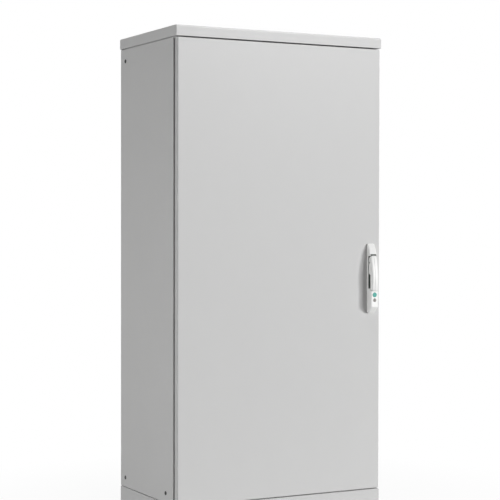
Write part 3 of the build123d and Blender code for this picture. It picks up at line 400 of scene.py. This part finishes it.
# Box round the groove down the middle of the lever, which holds painted shade.
GROOVE_SHADE_BOXES_M = (((0.4442, -0.36, 0.95), (0.4458, -0.3, 1.16)),)


class Coat(Enum):
    """The finishes of this enclosure, by what the real surface is; the two polyamides also carry painted
    shade.
    """

    # Polyester powder coat, baked to a faint orange peel: a soft broad sheen on light grey.
    POWDER = Finish("light_grey_powder_coat", "#CBCBCB", 0.72, grain_mm=1.6, relief_mm=0.03, mottle=0.012)
    # Galvanised sheet: dull metal in flat crystals of slightly different greys.
    GALVANISED = SpangledSheet("galvanised_sheet", "#B2B5B7", 0.5, 1.0, 0.8, 0.01, 0.12)
    # Zinc plate on turned and pressed steel: a dull, slightly cloudy metal.
    ZINC = Finish("zinc_plated_steel", "#8F9293", 0.62, 1.0, 0.5, 0.008, 0.08, 9.0)
    # Phosphated screws and pins: near black, with hardly any shine.
    PHOSPHATE = Finish("phosphated_steel", "#3A3A3A", 0.55, 0.0, 0.4, 0.02, 0.1, 4.0)
    # Polyurethane foam, poured as a bead: matt, dark, with open cells.
    FOAM = Finish("foamed_polyurethane", "#2E3032", 0.92, 0.0, 0.9, 0.12, 0.12, 6.0)
    # The housing's plastic, with painted shade in the tray where the lever lies and on its end wall above
    # the lever.
    SHADE_PAINTED_POLYAMIDE = ShadePaintedPlastic("shade_painted_polyamide", *MOULDED, "#4A524F", TRAY_SHADE_BOXES_M)
    # The lever's plastic, with painted shade in the groove down its middle.
    GROOVE_SHADED_POLYAMIDE = ShadePaintedPlastic("groove_shaded_polyamide", *MOULDED, "#AEB0AE", GROOVE_SHADE_BOXES_M)
    # The same plastic in black, for the rod guides.
    BLACK_NYLON = Finish("black_nylon", "#202122", 0.5, 0.0, 0.5, 0.02, 0.05, 12.0)
    # Tinted ABS with a satin face: the one coloured piece.
    TEAL_ABS = Finish("teal_abs", "#47A69B", 0.6, 0.0, 0.6, 0.01, 0.02, 8.0)
    # Nickel-plated die casting of the lock barrel, slightly worn by keys.
    NICKEL = Finish("nickel_plated_zinc", "#605E5C", 0.48, 1.0, 0.4, 0.006, 0.1, 3.0)


class Paints:
    """Makes each finish once and hands it out."""

    def __init__(self) -> None:
        """Start with no material made."""
        self._made: dict[Coat, bpy.types.Material] = {}

    def get(self, coat: Coat) -> bpy.types.Material:
        """The material of a finish, made on first use.

        Args:
            coat: the finish.

        Returns:
            Its Blender material.
        """
        if coat not in self._made:
            self._made[coat] = coat.value.material()
        return self._made[coat]


# Meshes


def mesh_piece(name: str, rings: Sequence[Sequence[Sequence[Vector]]], closed: bool) -> bpy.types.Object:
    """Skin rows of points with quads, one skin for each set of rows.

    Args:
        name: name of the new object.
        rings: sets of rows of points; the rows of a set have equally many points.
        closed: whether the last row of a set meets its first; if not, its ends are capped.

    Returns:
        The new object, linked to the scene.
    """
    made = bmesh.new()
    for rows in rings:
        loops = [[made.verts.new(point) for point in row] for row in rows]
        pairs = list(zip(loops, loops[1:] + loops[:1])) if closed else list(zip(loops, loops[1:]))
        for below, above in pairs:
            for here in range(len(below)):
                after = (here + 1) % len(below)
                made.faces.new((below[here], below[after], above[after], above[here]))
        if not closed:
            made.faces.new(loops[0][::-1])
            made.faces.new(loops[-1])
    bmesh.ops.recalc_face_normals(made, faces=made.faces)
    mesh = bpy.data.meshes.new(name)
    made.to_mesh(mesh)
    made.free()
    piece = bpy.data.objects.new(name, mesh)
    bpy.context.scene.collection.objects.link(piece)
    return piece


def solids_of(node: bpy.types.Object) -> list[tuple[Vector, Vector]]:
    """Boxes of the separate solids that make up a CAD node.

    Args:
        node: the node's object.

    Returns:
        The lowest and highest corner of each solid.
    """
    scratch = bmesh.new()
    scratch.from_mesh(node.data)
    bmesh.ops.remove_doubles(scratch, verts=scratch.verts, dist=SAME_POINT_M)
    left = set(scratch.verts)
    boxes = []
    while left:
        waiting = [left.pop()]
        island = list(waiting)
        while waiting:
            reached = waiting.pop()
            for link in reached.link_edges:
                other = link.other_vert(reached)
                if other in left:
                    left.remove(other)
                    waiting.append(other)
                    island.append(other)
        low = Vector(min(vert.co[axis] for vert in island) for axis in range(3))
        high = Vector(max(vert.co[axis] for vert in island) for axis in range(3))
        boxes.append((low, high))
    scratch.free()
    return sorted(boxes, key=lambda box: tuple(box[0]))


@dataclass(frozen=True)
class DriveScrew:
    """A pan-head screw with a six-lobed drive recess.

    Attributes:
        edge_mm: rounding of the head's rim.
        tip_share: width of the shank's tip, as a share of the head.
        shank_share: width of the shank, as a share of the head.
        taper_share: length of the tip's taper, as a share of the shank.
        rim_share: how far the middle of the rim's rounding is drawn in, as a share of it.
        recess_share: width of the recess, as a share of the head.
        mouth_share: width of the recess at its mouth, as a share of the recess.
        lip_share: depth of the recess's rounded lip, as a share of the rim's rounding.
        depth_share: depth of the recess, as a share of the head's height.
        lobes: lobes of the recess.
        lobe_share: how far the lobes stand out of the recess.
        mouth_lobe_share: how far they stand out at its mouth, as a share of that.
        points: points round the head.
    """

    edge_mm: float = 0.7
    tip_share: float = 0.4
    shank_share: float = 0.46
    taper_share: float = 0.1
    rim_share: float = 0.3
    recess_share: float = 0.42
    mouth_share: float = 1.12
    lip_share: float = 0.2
    depth_share: float = 0.7
    lobes: int = 6
    lobe_share: float = 0.14
    mouth_lobe_share: float = 0.4
    points: int = 48

    def rings(self, box: tuple[Vector, Vector], out: Vector, seat: float) -> list[list[Vector]]:
        """Rows of points up the shank, over the head and down into the recess.

        Args:
            box: the CAD screw's box.
            out: the way the head faces, along one axis.
            seat: length of the shank below the head, in metres.

        Returns:
            The rows, from the shank's tip to the recess floor.
        """
        low, high = box
        axis = max(range(3), key=lambda place: abs(out[place]))
        across = [place for place in range(3) if place != axis]
        radius = (high[across[0]] - low[across[0]]) / 2
        length = high[axis] - low[axis]
        middle = (low + high) / 2
        tip = middle - out * length / 2
        rim = self.edge_mm * MM
        drawn_in = rim * self.rim_share
        deep = (length - seat) * self.depth_share
        shank = radius * self.shank_share
        recess = radius * self.recess_share
        profile: list[tuple[float, float, float]] = [
            (radius * self.tip_share, 0.0, 0.0),
            (shank, seat * self.taper_share, 0.0),
            (shank, seat, 0.0),
            (radius, seat, 0.0),
            (radius, length - rim, 0.0),
            (radius - drawn_in, length - drawn_in, 0.0),
            (radius - rim, length, 0.0),
            (recess * self.mouth_share, length, self.mouth_lobe_share),
            (recess, length - rim * self.lip_share, 1.0),
            (recess, length - deep, 1.0),
        ]
        first, second = Vector((0, 0, 0)), Vector((0, 0, 0))
        first[across[0]] = 1.0
        second[across[1]] = 1.0
        rows = []
        for reach, along, lobed in profile:
            row = []
            for step in range(self.points):
                turn = 2 * math.pi * step / self.points
                wide = reach * (1 + self.lobe_share * lobed * math.cos(self.lobes * turn))
                aside = first * math.cos(turn) + second * math.sin(turn)
                row.append(tip + out * along + aside * wide)
            rows.append(row)
        return rows


@dataclass(frozen=True)
class SealBead:
    """The foam bead round the door opening, poured with a rounded top.

    Attributes:
        corner_mm: radius of the bead's line at the corners.
        corner_steps: points on each corner.
        crown_steps: points across the crown.
        flank_power: how steep its flanks are; one would be a plain half ellipse.
        crown_power: how flat its crown is; one would be a plain half ellipse.
    """

    corner_mm: float = 20.0
    corner_steps: int = 10
    crown_steps: int = 12
    flank_power: float = 0.7
    crown_power: float = 0.6

    def rings(self, low: Vector, high: Vector, width: float) -> list[list[Vector]]:
        """Rows of points across the bead, all the way round the opening.

        Args:
            low: lowest corner of the CAD gasket.
            high: highest corner of the CAD gasket.
            width: width of the bead, in metres.

        Returns:
            One row across the bead for each point of its line.
        """
        radius = self.corner_mm * MM
        half = width / 2
        tall = high.y - low.y
        left, right = low.x + half + radius, high.x - half - radius
        foot, top = low.z + half + radius, high.z - half - radius
        rows = []
        for number, (mid_x, mid_z) in enumerate(((right, top), (left, top), (left, foot), (right, foot))):
            for step in range(self.corner_steps + 1):
                turn = math.pi / 2 * (number + step / self.corner_steps)
                aside = Vector((math.cos(turn), 0, math.sin(turn)))
                middle = Vector((mid_x, low.y, mid_z)) + aside * radius
                row = []
                for place in range(self.crown_steps + 1):
                    angle = math.pi * place / self.crown_steps
                    out = math.copysign(abs(math.cos(angle)) ** self.flank_power, math.cos(angle)) * half
                    rise = tall * math.sin(angle) ** self.crown_power
                    row.append(middle + aside * out + Vector((0, rise, 0)))
                rows.append(row)
        return rows


# Sub-assemblies


@dataclass
class SubAssembly:
    """A group of pieces that belong together on the enclosure.

    Attributes:
        frame: the loaded CAD frame.
        paints: the finishes.
    """

    frame: Mapping[str, Any]
    paints: Paints

    def coat(self, coat: Coat, *names: str) -> None:
        """Give CAD nodes a finish.

        Args:
            coat: the finish.
            names: the nodes.
        """
        for name in names:
            node = self.frame["nodes"][name]
            node.data.materials.clear()
            node.data.materials.append(self.paints.get(coat))
            LOG.info("%s: %s", name, coat.value.name)

    def soften(self, width_mm: float, *names: str) -> None:
        """Break the sharp edges of CAD nodes, as deburring does.

        Args:
            width_mm: width of the broken edge.
            names: the nodes.
        """
        for name in names:
            modifiers = self.frame["nodes"][name].modifiers
            modifiers.new("weld", "WELD").merge_threshold = WELD_M
            bevel = modifiers.new("edge", "BEVEL")
            bevel.width = width_mm * MM
            bevel.segments = EDGE_STEPS
            bevel.limit_method = "ANGLE"
            bevel.angle_limit = math.radians(SHARP_DEG)
            bevel.use_clamp_overlap = True
            bevel.harden_normals = False

    def own_piece(
        self, piece: bpy.types.Object, coat: Coat, body: str, slot: str, *stands_for: str
    ) -> None:
        """Finish a new piece and fix it to its body.

        Args:
            piece: the new piece.
            coat: its finish.
            body: the body that it moves with.
            slot: the record's material slot; not used.
            stands_for: the CAD nodes that it is shown instead of.
        """
        piece.data.materials.append(self.paints.get(coat))
        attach(piece, body)
        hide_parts(*stands_for)
        LOG.info("%s: %s on %s", piece.name, coat.value.name, body)


@dataclass
class Cabinet(SubAssembly):
    """The frame, the outer panels and the plates inside.

    Attributes:
        bolt_edge_mm: broken edge of the bolts.
        seat_mm: shank length of the panel screws.
        gland_seat_mm: shank length of the gland plate screws.
        plate_seat_mm: shank length of the mounting plate bolts.
    """

    bolt_edge_mm: float = 0.8
    seat_mm: float = 15.0
    gland_seat_mm: float = 1.5
    plate_seat_mm: float = 11.0

    def build(self) -> None:
        """Finish the cabinet and shape its screws."""
        sides = ("front", "rear", "left", "right")
        rails = [f"{level}_rail_{side}" for level in ("top", "bottom") for side in sides]
        posts = [f"upright_{end}_{side}" for end in ("front", "rear") for side in ("left", "right")]
        skins = ["roof", "side_panel_left", "side_panel_right", "rear_panel"]
        foot = [f"plinth_{side}" for side in sides]
        self.coat(Coat.POWDER, *rails, *posts, *skins, *foot, "plinth_gussets")
        plates = ["mounting_plate", "plate_rail_top", "plate_rail_bottom"]
        self.coat(Coat.GALVANISED, *plates, "gland_plate_front", "gland_plate_rear")
        bolts = ["roof_screws", "plinth_bolts", "earth_stud"]
        self.coat(Coat.ZINC, *bolts, "striker_top", "striker_bottom")
        self.soften(self.bolt_edge_mm, *bolts)
        self.screws("side_panel_screws", Coat.PHOSPHATE, "dark_screw", self.seat_mm, self.outward_x)
        for node, seat_mm, out in (
            ("rear_panel_screws", self.seat_mm, Vector((0, 1, 0))),
            ("mounting_plate_bolts", self.plate_seat_mm, Vector((0, -1, 0))),
            ("gland_plate_screws", self.gland_seat_mm, Vector((0, 0, 1))),
        ):
            self.screws(node, Coat.ZINC, "zinc_steel", seat_mm, lambda box, out=out: out)

    @staticmethod
    def outward_x(box: tuple[Vector, Vector]) -> Vector:
        """The way out of the side that a screw is on."""
        return Vector((math.copysign(1.0, box[0].x + box[1].x), 0, 0))

    def screws(
        self,
        node: str,
        coat: Coat,
        slot: str,
        seat_mm: float,
        facing: Callable[[tuple[Vector, Vector]], Vector],
    ) -> None:
        """Shape one group of screws with rounded heads and drive recesses.

        Args:
            node: the CAD node of the group.
            coat: the finish of the screws.
            slot: the record's material slot.
            seat_mm: length of a shank below its head.
            facing: gives the way a screw's head faces, from its box.
        """
        kind = DriveScrew()
        boxes = solids_of(self.frame["nodes"][node])
        rows = [kind.rings(box, facing(box), seat_mm * MM) for box in boxes]
        piece = mesh_piece(f"{node}_shaped", rows, closed=False)
        self.own_piece(piece, coat, "cabinet", slot, node)


@dataclass
class Door(SubAssembly):
    """The door leaf, its seal, its stiffening rails and its hinges.

    Attributes:
        bead_mm: width of the foam bead.
        hinge_edge_mm: broken edge of the hinges.
    """

    bead_mm: float = 12.0
    hinge_edge_mm: float = 0.6

    def build(self) -> None:
        """Finish the door and pour its seal."""
        self.coat(Coat.POWDER, "door_panel", "door_rail_left", "door_rail_right")
        hinges = [f"hinge_{part}_{number}" for part in ("arm", "bracket") for number in (1, 2, 3)]
        self.coat(Coat.ZINC, *hinges, "hinge_pins")
        self.soften(self.hinge_edge_mm, *hinges)
        low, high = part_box("door_gasket")
        bead = mesh_piece("door_seal_bead", [SealBead().rings(low, high, self.bead_mm * MM)], closed=True)
        for face in bead.data.polygons:
            face.use_smooth = True
        self.own_piece(bead, Coat.FOAM, "door", "seal", "door_gasket")


@dataclass
class SwingHandle(SubAssembly):
    """The swing handle on the door: housing, lever, button and barrel.

    Attributes:
        button_edge_mm: broken edge of the button and the barrel.
    """

    button_edge_mm: float = 0.5

    def build(self) -> None:
        """Finish the handle's pieces."""
        # The housing carries painted shade in its tray and on its end wall above the lever.
        self.coat(Coat.SHADE_PAINTED_POLYAMIDE, "handle_housing")
        # The lever carries painted shade in its groove.
        self.coat(Coat.GROOVE_SHADED_POLYAMIDE, "handle_lever")
        self.coat(Coat.FOAM, "handle_gasket")
        self.coat(Coat.TEAL_ABS, "release_button")
        self.coat(Coat.NICKEL, "lock_barrel")
        self.coat(Coat.ZINC, "handle_rotor", "handle_screws")
        self.coat(Coat.PHOSPHATE, "lever_pivot_pin")
        self.soften(self.button_edge_mm, "release_button", "lock_barrel")


@dataclass
class RodLock(SubAssembly):
    """The rack-and-pinion lock behind the handle."""

    def build(self) -> None:
        """Finish the lock's pieces."""
        self.coat(Coat.ZINC, "lock_pinion", "upper_lock_rod", "lower_lock_rod")
        self.coat(Coat.ZINC, "lock_case", "lock_case_cover")
        self.coat(Coat.BLACK_NYLON, "rod_guides")


# Studio


@dataclass(frozen=True)
class Viewpoint:
    """Where the camera stands and how it looks.

    Attributes:
        place_m: position of the lens.
        yaw: turn to the right from +Y, in radians.
        pitch: tilt up, in radians.
        roll: turn about the line of sight, in radians.
        lens_mm: focal length.
        sensor_mm: width of the sensor.
    """

    place_m: tuple[float, float, float] = (-3.0877, -5.8954, 1.2822)
    yaw: float = 0.4827
    pitch: float = -0.0183
    roll: float = 0.0016
    lens_mm: float = 107.36
    sensor_mm: float = 36.0

    def build(self) -> None:
        """Make the camera and use it for the scene."""
        level = Vector((math.sin(self.yaw), math.cos(self.yaw), 0))
        right = Vector((math.cos(self.yaw), -math.sin(self.yaw), 0))
        ahead = level * math.cos(self.pitch) + Vector((0, 0, math.sin(self.pitch)))
        up = Vector((0, 0, math.cos(self.pitch))) - level * math.sin(self.pitch)
        side = right * math.cos(self.roll) + up * math.sin(self.roll)
        top = up * math.cos(self.roll) - right * math.sin(self.roll)
        data = bpy.data.cameras.new("viewpoint")
        data.lens = self.lens_mm
        data.sensor_width = self.sensor_mm
        camera = bpy.data.objects.new("viewpoint", data)
        turn = Matrix((side, top, -ahead)).transposed().to_4x4()
        camera.matrix_world = Matrix.Translation(self.place_m) @ turn
        bpy.context.scene.collection.objects.link(camera)
        bpy.context.scene.camera = camera


@dataclass(frozen=True)
class SoftBox:
    """One large soft lamp.

    Attributes:
        name: name of the lamp.
        place_m: its position.
        aim_m: the point that it faces.
        width_m: width of its face.
        height_m: height of its face.
        watts: its power.
    """

    name: str
    place_m: tuple[float, float, float]
    aim_m: tuple[float, float, float]
    width_m: float
    height_m: float
    watts: float

    def build(self) -> None:
        """Make the lamp."""
        data = bpy.data.lights.new(self.name, "AREA")
        data.shape = "RECTANGLE"
        data.size = self.width_m
        data.size_y = self.height_m
        data.energy = self.watts
        lamp = bpy.data.objects.new(self.name, data)
        lamp.location = self.place_m
        way = Vector(self.aim_m) - Vector(self.place_m)
        lamp.rotation_mode = "QUATERNION"
        lamp.rotation_quaternion = way.to_track_quat("-Z", "Y")
        bpy.context.scene.collection.objects.link(lamp)


@dataclass(frozen=True)
class Studio:
    """A pale floor, a white surround and soft lamps.

    Attributes:
        ambient: brightness of the surround as it lights the object.
        mirrored: brightness of the surround in reflections.
        floor_half_m: half the width of the floor.
        floor_colour: colour of the floor.
        white_from_m: distance from the middle at which the floor starts to turn plain white.
        white_to_m: distance at which it is all white to the camera.
        white_share: how white the camera sees it close to the object.
        lamps: the lamps.
    """

    ambient: float = 0.04
    mirrored: float = 0.45
    floor_half_m: float = 9.0
    floor_colour: str = "#DEDEDC"
    white_from_m: float = 0.7
    white_to_m: float = 1.7
    white_share: float = 0.94
    lamps: tuple[SoftBox, ...] = (
        SoftBox("key", (13.3, -17.4, 3.2), (0.0, -0.3, 1.0), 10.8, 5.2, 3040.0),
        SoftBox("right_accent", (16.2, -14.5, 3.2), (0.0, -0.3, 1.0), 2.9, 2.9, 1600.0),
        SoftBox("left_fill", (-5.0, -0.46, 0.4), (-0.5, -0.1, 0.8), 0.4, 2.0, 121.0),
        SoftBox("back_fill", (1.5, 9.5, 3.0), (0.0, 0.3, 1.1), 6.0, 6.0, 760.0),
        SoftBox("overhead", (0.0, -0.7, 3.5), (0.0, -0.35, 2.1), 1.2, 1.2, 20.0),
    )

    def build(self) -> None:
        """Make the surround, the floor and the lamps."""
        bpy.context.scene.view_settings.view_transform = "Standard"
        self.surround()
        self.floor()
        for lamp in self.lamps:
            lamp.build()

    def surround(self) -> None:
        """A white surround that the camera sees in full and the reflections in part."""
        world = bpy.data.worlds.new("surround")
        bpy.context.scene.world = world
        world.use_nodes = True
        tree = world.node_tree
        ray = add_node(tree, "ShaderNodeLightPath")
        seen = add_node(
            tree,
            "ShaderNodeMath",
            {"operation": "MAXIMUM"},
            links={0: ray.outputs["Is Camera Ray"], 1: ray.outputs["Is Transmission Ray"]},
        )
        mirrored = add_node(
            tree,
            "ShaderNodeMapRange",
            values={"To Min": self.ambient, "To Max": self.mirrored},
            links={"Value": ray.outputs["Is Glossy Ray"]},
        )
        strength = add_node(
            tree,
            "ShaderNodeMath",
            {"operation": "MAXIMUM"},
            links={0: seen.outputs[0], 1: mirrored.outputs["Result"]},
        )
        back = tree.nodes["Background"]
        back.inputs["Color"].default_value = (1.0, 1.0, 1.0, 1.0)
        tree.links.new(strength.outputs[0], back.inputs["Strength"])

    def floor(self) -> None:
        """A pale floor, mostly white to the camera, that keeps a soft shadow."""
        half = self.floor_half_m
        corners = [(-half, -half, 0), (half, -half, 0), (half, half, 0), (-half, half, 0)]
        mesh = bpy.data.meshes.new("studio_floor")
        mesh.from_pydata(corners, [], [(0, 1, 2, 3)])
        floor = bpy.data.objects.new("studio_floor", mesh)
        bpy.context.scene.collection.objects.link(floor)
        made = bpy.data.materials.new("pale_floor")
        made.use_nodes = True
        tree = made.node_tree
        tree.nodes.remove(tree.nodes["Principled BSDF"])
        matt = add_node(tree, "ShaderNodeBsdfDiffuse", values={"Color": linear(self.floor_colour)})
        white = add_node(tree, "ShaderNodeEmission", values={"Strength": 1.0})
        ray = add_node(tree, "ShaderNodeLightPath")
        seen = add_node(
            tree,
            "ShaderNodeMath",
            {"operation": "MAXIMUM"},
            links={0: ray.outputs["Is Camera Ray"], 1: ray.outputs["Is Glossy Ray"]},
        )
        place = add_node(tree, "ShaderNodeTexCoord")
        reach = add_node(
            tree, "ShaderNodeVectorMath", {"operation": "LENGTH"}, links={0: place.outputs["Object"]}
        )
        fade = add_node(
            tree,
            "ShaderNodeMapRange",
            values={
                "From Min": self.white_from_m,
                "From Max": self.white_to_m,
                "To Min": self.white_share,
                "To Max": 1.0,
            },
            links={"Value": reach.outputs["Value"]},
        )
        share = add_node(
            tree,
            "ShaderNodeMath",
            {"operation": "MULTIPLY"},
            links={0: seen.outputs[0], 1: fade.outputs["Result"]},
        )
        both = add_node(
            tree,
            "ShaderNodeMixShader",
            links={0: share.outputs[0], 1: matt.outputs[0], 2: white.outputs[0]},
        )
        tree.links.new(both.outputs[0], tree.nodes["Material Output"].inputs["Surface"])
        mesh.materials.append(made)


def main() -> None:
    """Dress the enclosure and set up the studio."""
    logging.basicConfig(level=logging.INFO, format="%(name)s %(message)s")
    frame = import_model()
    paints = Paints()
    for group in (Cabinet, Door, SwingHandle, RodLock):
        group(frame, paints).build()
    Studio().build()
    Viewpoint().build()


if __name__ == "__main__":
    main()
